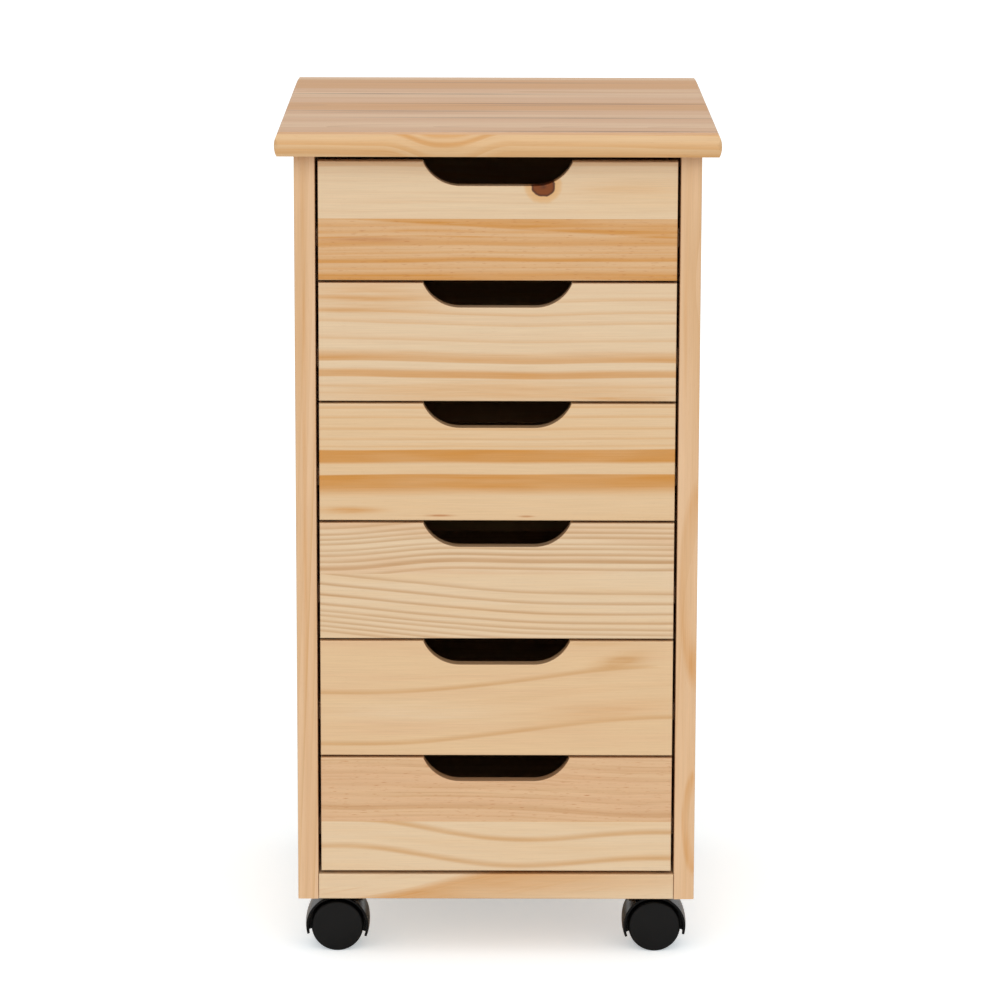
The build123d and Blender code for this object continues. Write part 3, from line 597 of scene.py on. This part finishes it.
def panel_figure(tree, place, panel, gap, colours):
    """Colour and latewood amount of a panel glued from staves, each cut at its own distance from the pith."""
    along, across, deep = add(tree, "SeparateXYZ", {0: place}).node.outputs
    share = add(tree, "Math", {0: across, 1: panel.span}, operation="DIVIDE")
    starts = [start / panel.span for start, _ in panel.staves]
    strips = add(tree, "ValToRGB", {"Fac": share})
    numbered = [
        (*getattr(colours, tone)[:3], (i + 1) / (len(starts) + 1)) for i, (_, tone) in enumerate(panel.staves)
    ]
    set_stops(strips.node.color_ramp, list(zip(starts, numbered)), "CONSTANT")
    number = strips.node.outputs[1]
    chance = add(
        tree, "TexWhiteNoise", {"Vector": (panel.seed, 0.0, 0.0), "W": number}, out=1, noise_dimensions="4D"
    )
    first, second, third = add(tree, "SeparateColor", {0: chance}).node.outputs
    wander = add(tree, "Math", {0: streaks(tree, place, PANEL_WANDER, 1.0), 1: 0.5}, operation="SUBTRACT")
    local = add(tree, "Math", {0: second, 1: -panel.span, 2: across}, operation="MULTIPLY_ADD")
    local = add(tree, "Math", {0: wander, 1: PANEL_WAVE, 2: local}, operation="MULTIPLY_ADD")
    slant = add(tree, "MapRange", {0: third, 1: 0, 2: 1, 3: -PITH_SLANT, 4: PITH_SLANT})
    below = add(tree, "MapRange", {0: first, 1: 0, 2: 1, 3: PITH_NEAR, 4: PITH_FAR})
    below = add(tree, "Math", {0: along, 1: slant, 2: below}, operation="MULTIPLY_ADD")
    below = add(tree, "Math", {0: below, 1: deep}, operation="ADD")
    from_pith = add(tree, "CombineXYZ", {0: local, 1: below})
    ring = add(tree, "VectorMath", {0: from_pith}, out=1, operation="LENGTH")
    count = add(tree, "Math", {0: ring, 1: gap}, operation="DIVIDE")
    count = add(tree, "Math", {0: third, 1: 37.0, 2: count}, operation="MULTIPLY_ADD")
    year = add(tree, "Math", {0: count}, operation="FLOOR")
    year = add(tree, "TexWhiteNoise", {"W": year}, noise_dimensions="1D")
    year = add(tree, "MapRange", {0: year, 1: 0, 2: 1, 3: 0.2, 4: 0.9})
    late = add(tree, "Math", {0: count}, operation="FRACT")
    late = add(tree, "Math", {0: late, 1: 3.0}, operation="POWER")
    late = add(tree, "Math", {0: late, 1: year}, operation="MULTIPLY")
    fade = streaks(tree, place, PANEL_FADE)
    fade = add(tree, "MapRange", {0: fade, 1: NOISE_LOW, 2: NOISE_HIGH, 3: 0.3, 4: 1.0})
    late = add(tree, "Math", {0: late, 1: fade}, operation="MULTIPLY", use_clamp=True)
    tint = streaks(tree, place, PANEL_STREAK, 3.0)
    tint = add(tree, "MapRange", {0: tint, 1: 0.4, 2: 0.7, 3: 0, 4: panel.tint})
    colour = add(tree, "Mix", {0: tint, 6: strips, 7: getattr(colours, panel.late)}, out=2, data_type="RGBA")
    colour = add(tree, "Mix", {0: late, 6: colour, 7: getattr(colours, panel.late)}, out=2, data_type="RGBA")
    if panel.glue:
        lines = add(tree, "ValToRGB", {"Fac": share})
        half = 0.5 / panel.span
        stops = [(start + side * half, float(side == 0)) for start in starts[1:] for side in (-1, 0, 1)]
        set_stops(lines.node.color_ramp, stops)
        seam = add(tree, "Math", {0: lines, 1: panel.glue}, operation="MULTIPLY")
        colour = add(tree, "Mix", {0: seam, 6: colour, 7: colours.pine_umber}, out=2, data_type="RGBA")
    return colour, late


def stain(tree, place, colour, patch, grain, colours):
    """Colour with a patch of another tone over it."""
    spot = add(
        tree, "Mapping",
        {
            "Vector": place, "Location": (*patch.at, 0.0)[:3], "Rotation": (0, 0, math.radians(patch.turn)),
            "Scale": (*patch.reach, THROUGH)[:3],
        },
        vector_type="TEXTURE",
    )
    if patch.form == "edge":
        run, rise, _ = add(tree, "SeparateXYZ", {0: spot}).node.outputs
        start = add(tree, "MapRange", {0: rise, 1: 0, 2: 0.09, 3: 0, 4: 1})
        amount = add(tree, "MapRange", {0: rise, 1: 0.2, 2: 1.2, 3: 1, 4: 0})
        amount = add(tree, "Math", {0: amount, 1: start}, operation="MULTIPLY")
        ends = add(tree, "Math", {0: run}, operation="ABSOLUTE")
        ends = add(tree, "MapRange", {0: ends, 1: 0.7, 2: 1.0, 3: 1, 4: 0})
        amount = add(tree, "Math", {0: amount, 1: ends}, operation="MULTIPLY")
    elif patch.form == "loop":
        far = add(tree, "VectorMath", {0: spot}, out=1, operation="LENGTH")
        start = add(tree, "MapRange", {0: far, 1: 0.5, 2: 0.9, 3: 0, 4: 1})
        amount = add(tree, "MapRange", {0: far, 1: 0.95, 2: 1.12, 3: 1, 4: 0})
        amount = add(tree, "Math", {0: amount, 1: start}, operation="MULTIPLY")
    else:
        amount = add(tree, "TexGradient", {0: spot}, out=1, gradient_type="QUADRATIC_SPHERE")
        amount = add(tree, "Math", {0: amount, 1: 1.7}, operation="MULTIPLY", use_clamp=True)
    weak, strong = 0.45 * patch.strength, 1.2 * patch.strength
    broken = add(tree, "MapRange", {0: grain, 1: 0.32, 2: 0.68, 3: weak, 4: strong})
    amount = add(tree, "Math", {0: amount, 1: broken}, operation="MULTIPLY", use_clamp=True)
    return add(tree, "Mix", {0: amount, 6: colour, 7: getattr(colours, patch.tone)}, out=2, data_type="RGBA")


def add_knot(tree, place, colour, knot, colours):
    """Colour with a round knot: a dark heart, a darker rim and a halo."""
    along, height, radius = knot
    wobble, endless = 2.4, 1000.0  # the knot is slightly uneven and goes right through
    noise = add(tree, "TexNoise", {"Vector": place, "Scale": 0.16, "Detail": 2.0}, out=1)
    moved = add(tree, "VectorMath", {0: noise, 1: (wobble,) * 3, 2: place}, operation="MULTIPLY_ADD")
    middle = (along + wobble / 2, height + wobble / 2, 0)
    spot = add(
        tree, "Mapping",
        {"Vector": moved, "Location": middle, "Scale": (radius, 0.95 * radius, endless)},
        vector_type="TEXTURE",
    )
    far = add(tree, "VectorMath", {0: spot}, out=1, operation="LENGTH")
    ramp = add(tree, "ValToRGB", {"Fac": add(tree, "Math", {0: far, 1: 0.5}, operation="MULTIPLY")})
    heart, rim, halo = colours.knot[:3], colours.knot_rim[:3], colours.knot_halo[:3]
    set_stops(
        ramp.node.color_ramp,
        [
            (0.0, (*rim, 1.0)), (0.2, (*heart, 1.0)), (0.38, (*heart, 1.0)), (0.46, (*rim, 1.0)),
            (0.5, (*rim, 0.9)), (0.53, (*halo, 0.9)), (0.74, (*halo, 0.6)), (0.86, (*halo, 0.0)),
        ],
    )
    return add(tree, "Mix", {0: ramp.node.outputs[1], 6: colour, 7: ramp}, out=2, data_type="RGBA")


def pine_surface(tree, place, colour, late, flecks, sizes, colours):
    """Fine streaks, resin flecks and a satin clear finish over the figure."""
    fibre = sizes.fibre / MM
    fine = streaks(tree, place, (FIBRE_LENGTH, fibre, fibre))
    value = add(tree, "MapRange", {0: fine, 1: 0.25, 2: 0.75, 3: 0.95, 4: 1.045})
    colour = add(tree, "HueSaturation", {"Value": value, "Color": colour})
    spots = streaks(tree, place, RESIN_FLECK, 1.0)
    spots = add(tree, "MapRange", {0: spots, 1: 0.64, 2: 0.78, 3: 0, 4: flecks})
    colour = add(tree, "Mix", {0: spots, 6: colour, 7: colours.pine_rust}, out=2, data_type="RGBA")
    gloss = add(tree, "Math", {0: late, 1: -0.07, 2: 0.47}, operation="MULTIPLY_ADD")
    gloss = add(tree, "Math", {0: fine, 1: 0.08, 2: gloss}, operation="MULTIPLY_ADD")
    relief = add(tree, "Math", {0: late, 1: 0.5, 2: fine}, operation="MULTIPLY_ADD")
    bump = add(tree, "Bump", {"Strength": 0.35, "Distance": 0.05 * MM, "Height": relief})
    coat = {"Base Color": colour, "Roughness": gloss, "Specular IOR Level": 0.35, "Normal": bump}
    add(tree, "OutputMaterial", {"Surface": add(tree, "BsdfPrincipled", coat)})


def paint_grip_shade(tree, place, colour, front, sizes, colours):
    """Colour with painted shade on the routed edge of a finger grip, behind the show face, where the recess
    lies in shadow.
    """
    along, across, deep = add(tree, "SeparateXYZ", {0: place}).node.outputs
    thick, height, arris = front.y / MM, front.z / MM, sizes.arris / MM
    half = sizes.grip_depth / MM / 2
    amount = add(tree, "Math", {0: along, 1: 0.0, 2: sizes.grip_reach / MM}, operation="COMPARE")
    tall = add(tree, "Math", {0: across, 1: height - half - arris, 2: half}, operation="COMPARE")
    amount = add(tree, "Math", {0: amount, 1: tall}, operation="MULTIPLY")
    inner = add(tree, "Math", {0: deep, 1: thick / 2, 2: thick / 2 - arris}, operation="COMPARE")
    amount = add(tree, "Math", {0: amount, 1: inner}, operation="MULTIPLY")
    return add(
        tree, "Mix", {0: amount, 6: colour, 7: colours.painted_grip_shade}, out=2, data_type="RGBA",
        blend_type="MULTIPLY",
    )


def board_pine(name, board, origin, axes, sizes, colours, front=None):
    """Clear-finished pine of one board: the figure that the eye knows it by, with fine streaks and flecks."""
    made, tree = material(name)
    place = grain_place(tree, origin, axes)
    grain = streaks(tree, place, STAIN_GRAIN, 3.0)
    flecks = board.staves[0].flecks
    colour, late = stave_figure(tree, place, board.staves[0], colours)
    for patch in board.patches:
        if patch.form == "edge":
            colour = stain(tree, place, colour, patch, grain, colours)
    if len(board.staves) > 1:
        upper, upper_late = stave_figure(tree, place, board.staves[1], colours)
        across = add(tree, "SeparateXYZ", {0: place}, out=1)
        above = add(tree, "Math", {0: across, 1: board.split}, operation="GREATER_THAN")
        colour = add(tree, "Mix", {0: above, 6: colour, 7: upper}, out=2, data_type="RGBA")
        late = add(tree, "Mix", {0: above, 2: late, 3: upper_late})
        flecks = add(tree, "Mix", {0: above, 2: flecks, 3: board.staves[1].flecks})
        if board.glue:
            seam = add(tree, "Math", {0: across, 1: board.split, 2: SEAM_HALF}, operation="COMPARE")
            seam = add(tree, "Math", {0: seam, 1: board.glue}, operation="MULTIPLY")
            colour = add(tree, "Mix", {0: seam, 6: colour, 7: colours.pine_amber}, out=2, data_type="RGBA")
    for patch in board.patches:
        if patch.form != "edge":
            colour = stain(tree, place, colour, patch, grain, colours)
    if board.knot:
        colour = add_knot(tree, place, colour, board.knot, colours)
    # A drawer front gets painted shade on the routed edge of its finger grip.
    if front:
        colour = paint_grip_shade(tree, place, colour, front, sizes, colours)
    pine_surface(tree, place, colour, late, flecks, sizes, colours)
    return made


def panel_pine(name, panel, origin, axes, sizes, colours, nose=None):
    """Pine glued from staves, each with its own rings and shade. So has a nose, given by its low corner."""
    made, tree = material(name)
    place = grain_place(tree, origin, axes)
    colour, late = panel_figure(tree, place, panel, sizes.ring_gap / MM, colours)
    grain = streaks(tree, place, STAIN_GRAIN, 3.0)
    for patch in panel.patches:
        colour = stain(tree, place, colour, patch, grain, colours)
    if nose:
        face = grain_place(tree, (0, nose.y, nose.z), "XZY")
        edge, edge_late = stave_figure(tree, face, NOSE, colours)
        _, across, deep = add(tree, "SeparateXYZ", {0: place}).node.outputs
        front = add(tree, "Math", {0: across, 1: sizes.nose_edge / MM}, operation="LESS_THAN")
        under = add(tree, "Math", {0: deep, 1: -sizes.nose_drop / MM}, operation="LESS_THAN")
        inside = add(tree, "Math", {0: front, 1: under}, operation="MULTIPLY")
        colour = add(tree, "Mix", {0: inside, 6: colour, 7: edge}, out=2, data_type="RGBA")
        late = add(tree, "Mix", {0: inside, 2: late, 3: edge_late})
    pine_surface(tree, place, colour, late, panel.flecks, sizes, colours)
    return made


def veneer(name, axes, colours):
    """Unfinished plywood face: pale, with the broad figure of peeled veneer and a dull surface."""
    made, tree = material(name)
    place = grain_place(tree, (0, 0, 0), axes)
    broad = streaks(tree, place, VENEER_FIGURE, 1.5)
    lines = add(tree, "Math", {0: broad, 1: 7.0}, operation="MULTIPLY")
    lines = add(tree, "Math", {0: lines}, operation="FRACT")
    lines = add(tree, "Math", {0: lines, 1: 2.5}, operation="POWER")
    fine = streaks(tree, place, VENEER_PORE)
    amount = add(tree, "Math", {0: lines, 1: 0.75, 2: fine}, operation="MULTIPLY_ADD")
    amount = add(tree, "MapRange", {0: amount, 1: 0.35, 2: 1.3, 3: 0, 4: 0.8})
    colour = add(
        tree, "Mix", {0: amount, 6: colours.plywood, 7: colours.plywood_line}, out=2, data_type="RGBA"
    )
    bump = add(tree, "Bump", {"Strength": 0.4, "Distance": 0.08 * MM, "Height": fine})
    gloss = add(tree, "MapRange", {0: fine, 1: 0, 2: 1, 3: 0.6, 4: 0.75})
    face = {"Base Color": colour, "Roughness": gloss, "Normal": bump}
    add(tree, "OutputMaterial", {"Surface": add(tree, "BsdfPrincipled", face)})
    return made


def beech_wood(name, colours):
    """Planed beech: even pinkish tan with short dark ray flecks."""
    made, tree = material(name)
    place = grain_place(tree, (0, 0, 0), "YZX")
    broad = streaks(tree, place, BEECH_STREAK)
    flecks = streaks(tree, place, BEECH_FLECK, 1.0)
    flecks = add(tree, "MapRange", {0: flecks, 1: 0.58, 2: 0.7, 3: 0, 4: 0.6})
    amount = add(tree, "Math", {0: broad, 1: 0.4, 2: flecks}, operation="MULTIPLY_ADD")
    colour = add(tree, "Mix", {0: amount, 6: colours.beech, 7: colours.beech_fleck}, out=2, data_type="RGBA")
    bump = add(tree, "Bump", {"Strength": 0.3, "Distance": 0.05 * MM, "Height": flecks})
    gloss = add(tree, "MapRange", {0: broad, 1: 0, 2: 1, 3: 0.5, 4: 0.65})
    face = {"Base Color": colour, "Roughness": gloss, "Normal": bump}
    add(tree, "OutputMaterial", {"Surface": add(tree, "BsdfPrincipled", face)})
    return made


def moulded_plastic(name, colour, gloss_range, shine):
    """Black moulded nylon: a fine spark-eroded texture and slightly uneven sheen."""
    made, tree = material(name)
    place = grain_place(tree, (0, 0, 0), "XYZ")
    skin = streaks(tree, place, NYLON_SKIN, 3.0)
    cloud = streaks(tree, place, NYLON_CLOUD, 3.0)
    value = add(tree, "MapRange", {0: cloud, 1: NOISE_LOW, 2: NOISE_HIGH, 3: 0.8, 4: 1.25})
    tone = add(tree, "HueSaturation", {"Value": value, "Color": colour})
    low, high = gloss_range
    gloss = add(tree, "MapRange", {0: cloud, 1: NOISE_LOW, 2: NOISE_HIGH, 3: low, 4: high})
    bump = add(tree, "Bump", {"Strength": 0.25, "Distance": 0.04 * MM, "Height": skin})
    face = {"Base Color": tone, "Roughness": gloss, "Specular IOR Level": shine, "Normal": bump}
    add(tree, "OutputMaterial", {"Surface": add(tree, "BsdfPrincipled", face)})
    return made


def zinc_plate(name, colours):
    """Zinc-plated steel: bright bluish metal with faint cloudy passivation."""
    made, tree = material(name)
    place = grain_place(tree, (0, 0, 0), "XYZ")
    cloud = streaks(tree, place, ZINC_CLOUD, 3.0)
    grit = streaks(tree, place, ZINC_GRIT)
    value = add(tree, "MapRange", {0: cloud, 1: NOISE_LOW, 2: NOISE_HIGH, 3: 0.88, 4: 1.08})
    tone = add(tree, "HueSaturation", {"Value": value, "Color": colours.zinc})
    gloss = add(tree, "MapRange", {0: cloud, 1: NOISE_LOW, 2: NOISE_HIGH, 3: 0.28, 4: 0.42})
    bump = add(tree, "Bump", {"Strength": 0.2, "Distance": 0.02 * MM, "Height": grit})
    face = {"Base Color": tone, "Roughness": gloss, "Metallic": 1.0, "Normal": bump}
    add(tree, "OutputMaterial", {"Surface": add(tree, "BsdfPrincipled", face)})
    return made


def matt_floor(name, lift, colours):
    """Matt white floor. It is lifted for the camera only, so its lit part is as white as the backdrop."""
    made, tree = material(name)
    seen = add(tree, "LightPath")
    amount = add(tree, "Math", {0: seen, 1: lift}, operation="MULTIPLY")
    glow = add(tree, "Emission", {"Color": colours.floor_lift, "Strength": amount})
    matt = add(tree, "BsdfDiffuse", {"Color": colours.floor})
    add(tree, "OutputMaterial", {"Surface": add(tree, "AddShader", {0: matt, 1: glow})})
    return made


def dress(node, made):
    """Gives a CAD node its finished material."""
    for holder in NODES[node].material_slots:
        holder.material = made


# Operators


class CART_OT_top_board(bpy.types.Operator):
    """Dress the top board in edge-glued pine"""

    bl_idname = "cart.top_board"
    bl_label = "Top board"

    def execute(self, context):
        sizes, colours = context.scene.cart_sizes, context.scene.cart_colours
        low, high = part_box("top_board")
        made = panel_pine("pine_top_board", TOP, (0, low.y, high.z), "XYZ", sizes, colours, nose=low)
        dress("top_board", made)
        return {"FINISHED"}


class CART_OT_carcass(bpy.types.Operator):
    """Dress the side panels, the base board and the back panel"""

    bl_idname = "cart.carcass"
    bl_label = "Carcass"

    def execute(self, context):
        sizes, colours = context.scene.cart_sizes, context.scene.cart_colours
        for side, panel in SIDES.items():
            node = side + "_side_panel"
            low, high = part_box(node)
            outer = low.x if side == "left" else high.x
            made = panel_pine("pine_" + node, panel, (outer, low.y, 0), "ZYX", sizes, colours)
            dress(node, made)
        low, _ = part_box("base_board")
        made = board_pine("pine_base_board", BASE_EDGE, (0, low.y, low.z), "XZY", sizes, colours)
        dress("base_board", made)
        dress("back_panel", veneer("plywood_back", "ZXY", colours))
        return {"FINISHED"}


class CART_OT_drawer_fronts(bpy.types.Operator):
    """Dress each drawer front in its own piece of pine"""

    bl_idname = "cart.drawer_fronts"
    bl_label = "Drawer fronts"

    def execute(self, context):
        sizes, colours = context.scene.cart_sizes, context.scene.cart_colours
        for number, board in zip(DRAWERS, FRONTS):
            node = f"drawer_{number}_front"
            low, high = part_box(node)
            made = board_pine(
                "pine_" + node, board, (0, low.y, low.z), "XZY", sizes, colours, front=high - low
            )
            dress(node, made)
        return {"FINISHED"}


class CART_OT_drawer_boxes(bpy.types.Operator):
    """Dress the sides, backs and bottoms of the drawers"""

    bl_idname = "cart.drawer_boxes"
    bl_label = "Drawer boxes"

    def execute(self, context):
        sizes, colours = context.scene.cart_sizes, context.scene.cart_colours
        sides = panel_pine("pine_drawer_side", BOX_SIDE, (0, 0, 0), "YZX", sizes, colours)
        backs = panel_pine("pine_drawer_back", BOX_BACK, (0, 0, 0), "XZY", sizes, colours)
        bottom = veneer("plywood_bottom", "XYZ", colours)
        for number in DRAWERS:
            dress(f"drawer_{number}_left_side", sides)
            dress(f"drawer_{number}_right_side", sides)
            dress(f"drawer_{number}_back", backs)
            dress(f"drawer_{number}_bottom", bottom)
        return {"FINISHED"}


class CART_OT_runners(bpy.types.Operator):
    """Dress the drawer runners and the dowels in beech"""

    bl_idname = "cart.runners"
    bl_label = "Runners and dowels"

    def execute(self, context):
        made = beech_wood("beech", context.scene.cart_colours)
        dress("drawer_runners", made)
        dress("joint_dowels", made)
        return {"FINISHED"}


class CART_OT_fasteners(bpy.types.Operator):
    """Dress screws, nails, cam fittings and caster plates in zinc-plated steel"""

    bl_idname = "cart.fasteners"
    bl_label = "Fasteners and plates"

    def execute(self, context):
        made = zinc_plate("zinc_plated_steel", context.scene.cart_colours)
        for node in STEEL:
            dress(node, made)
        for caster in CASTERS:
            dress(caster + "_caster_axle", made)
        return {"FINISHED"}


class CART_OT_casters(bpy.types.Operator):
    """Dress the hoods and wheels in black plastic"""

    bl_idname = "cart.casters"
    bl_label = "Casters"

    def execute(self, context):
        colours = context.scene.cart_colours
        hood = moulded_plastic("black_nylon_hood", colours.hood, gloss_range=(0.2, 0.3), shine=0.14)
        wheel = moulded_plastic("black_nylon_wheel", colours.wheel, gloss_range=(0.42, 0.55), shine=0.2)
        for caster in CASTERS:
            dress(caster + "_caster_hood", hood)
            for end in ("front", "rear"):
                dress(f"{caster}_caster_{end}_wheel", wheel)
        return {"FINISHED"}


class CART_OT_stage(bpy.types.Operator):
    """Set up the white floor, the soft light and the camera"""

    bl_idname = "cart.stage"
    bl_label = "Stage"

    def execute(self, context):
        scene = context.scene
        stage, colours = scene.cart_stage, scene.cart_colours
        mesh = bpy.data.meshes.new("studio_floor")
        bm = bmesh.new()
        bmesh.ops.create_grid(bm, x_segments=1, y_segments=1, size=stage.floor / 2)
        bm.to_mesh(mesh)
        bm.free()
        mesh.materials.append(matt_floor("studio_floor", stage.floor_lift, colours))
        floor = bpy.data.objects.new("studio_floor", mesh)
        scene.collection.objects.link(floor)

        # White all round, but dimmer as a light, so that the key light still shapes the cart.
        world = bpy.data.worlds.new("studio")
        scene.world = world
        tree = empty_tree(world)
        path = add(tree, "LightPath").node.outputs
        plain = add(tree, "Math", {0: path["Is Camera Ray"], 1: path["Is Glossy Ray"]}, operation="MAXIMUM")
        plain = add(tree, "Math", {0: plain, 1: path["Is Transmission Ray"]}, operation="MAXIMUM")
        level = add(tree, "MapRange", {0: plain, 1: 0, 2: 1, 3: stage.sky, 4: stage.backdrop_level})
        sky = add(tree, "Background", {"Color": colours.backdrop, "Strength": level})
        add(tree, "OutputWorld", {"Surface": sky})

        key = bpy.data.lights.new("key", "SUN")
        key.energy = stage.key_energy
        key.angle = stage.key_width
        lamp = bpy.data.objects.new("key", key)
        lamp.rotation_euler = (stage.key_tilt, 0.0, 0.0)
        scene.collection.objects.link(lamp)

        lens = bpy.data.cameras.new("camera")
        lens.sensor_width = stage.sensor
        lens.lens = stage.focal_length
        lens.clip_end = stage.view_limit
        camera = bpy.data.objects.new("camera", lens)
        turn = (
            Matrix.Rotation(-stage.yaw, 4, "Z")
            @ Matrix.Rotation(math.pi / 2 - stage.pitch, 4, "X")
            @ Matrix.Rotation(stage.roll, 4, "Z")
        )
        camera.location = stage.camera_place
        camera.rotation_euler = turn.to_euler()
        scene.collection.objects.link(camera)
        scene.camera = camera
        scene.view_settings.view_transform = "Standard"
        return {"FINISHED"}


STEPS = (
    CART_OT_top_board, CART_OT_carcass, CART_OT_drawer_fronts, CART_OT_drawer_boxes, CART_OT_runners,
    CART_OT_fasteners, CART_OT_casters, CART_OT_stage,
)


class CART_PT_build(bpy.types.Panel):
    """Lists the cart's building steps"""

    bl_idname = "CART_PT_build"
    bl_label = "Drawer cart"
    bl_space_type = "VIEW_3D"
    bl_region_type = "UI"
    bl_category = "Cart"

    def draw(self, context):
        for step in STEPS:
            self.layout.operator(step.bl_idname)


CLASSES = (CartSizes, CartStage, CartColours, *STEPS, CART_PT_build)


def register():
    for cls in CLASSES:
        bpy.utils.register_class(cls)
    bpy.types.Scene.cart_sizes = PointerProperty(type=CartSizes)
    bpy.types.Scene.cart_stage = PointerProperty(type=CartStage)
    bpy.types.Scene.cart_colours = PointerProperty(type=CartColours)


def unregister():
    del bpy.types.Scene.cart_colours
    del bpy.types.Scene.cart_stage
    del bpy.types.Scene.cart_sizes
    for cls in reversed(CLASSES):
        bpy.utils.unregister_class(cls)


def main():
    """Builds the scene."""
    register()
    bpy.ops.cart.top_board()
    bpy.ops.cart.carcass()
    bpy.ops.cart.drawer_fronts()
    bpy.ops.cart.drawer_boxes()
    bpy.ops.cart.runners()
    bpy.ops.cart.fasteners()
    bpy.ops.cart.casters()
    bpy.ops.cart.stage()


if __name__ == "__main__":
    main()
